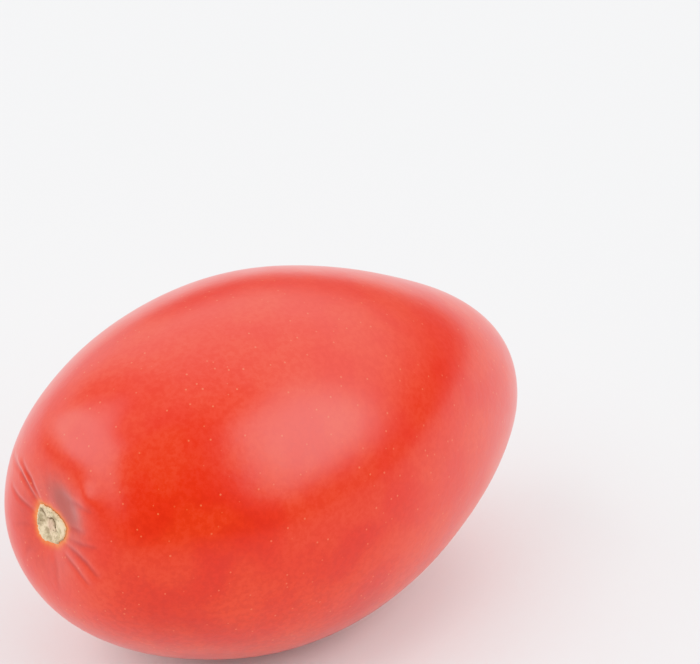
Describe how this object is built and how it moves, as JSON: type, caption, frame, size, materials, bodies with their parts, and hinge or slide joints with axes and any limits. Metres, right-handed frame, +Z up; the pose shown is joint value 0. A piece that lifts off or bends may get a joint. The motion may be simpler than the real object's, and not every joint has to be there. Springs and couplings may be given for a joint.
{
  "type": "plum tomato",
  "caption": "Ripe red plum tomato without its calyx, lying on its side on a small flat spot, with a dry corky stem scar at the fuller end.",
  "frame": {"origin": "on the surface that the fruit lies on, under the middle of its outline", "axes": "+Z up, the long axis along X with the stem scar at -X and the blossom end at +X"},
  "size_m": [0.0748, 0.048, 0.0479],
  "materials": {
    "skin": "thin waxy fruit skin, satin gloss, deep red with an orange cast; dry matt tan cork at the stem scar"
  },
  "bodies": {
    "root": {"tomato": "skin"}
  },
  "joints": []
}
